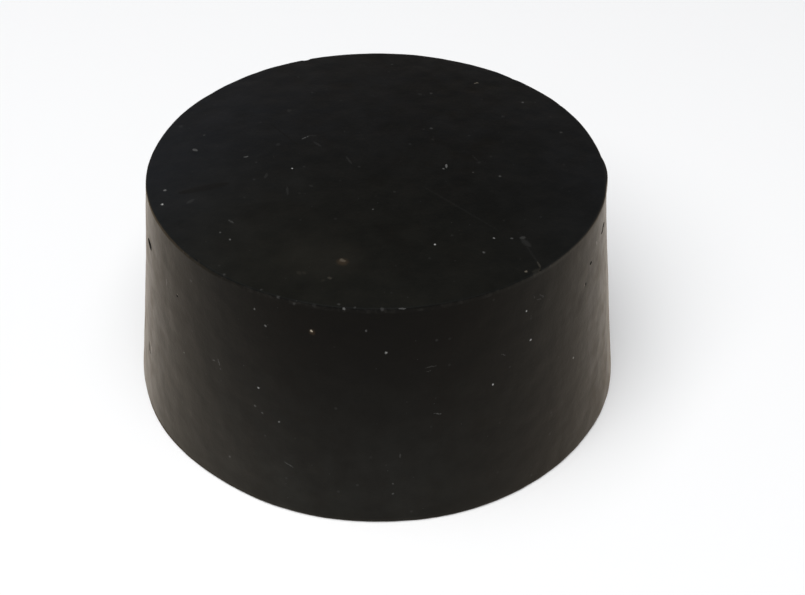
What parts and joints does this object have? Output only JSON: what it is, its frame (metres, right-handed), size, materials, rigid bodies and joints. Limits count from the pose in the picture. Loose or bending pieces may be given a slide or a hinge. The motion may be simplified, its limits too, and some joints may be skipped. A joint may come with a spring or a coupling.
{
  "type": "rubber stopper",
  "caption": "Solid tapered rubber stopper with flat ends and lightly rounded rims, pressed into the neck of a flask, bottle or large tube to close it.",
  "frame": {"origin": "centre of the wide end's flat face, which the stopper stands on", "axes": "+Z along the axis of the taper, from the wide end up to the narrow end; X and Y lie in the wide face and are alike by symmetry"},
  "size_m": [0.0559, 0.056, 0.0254],
  "materials": {
    "black_rubber": "matt moulded black rubber, greyed by handling, with fine dust, scuffs and worn rims"
  },
  "bodies": {
    "root": {"stopper": "black_rubber"}
  },
  "joints": []
}
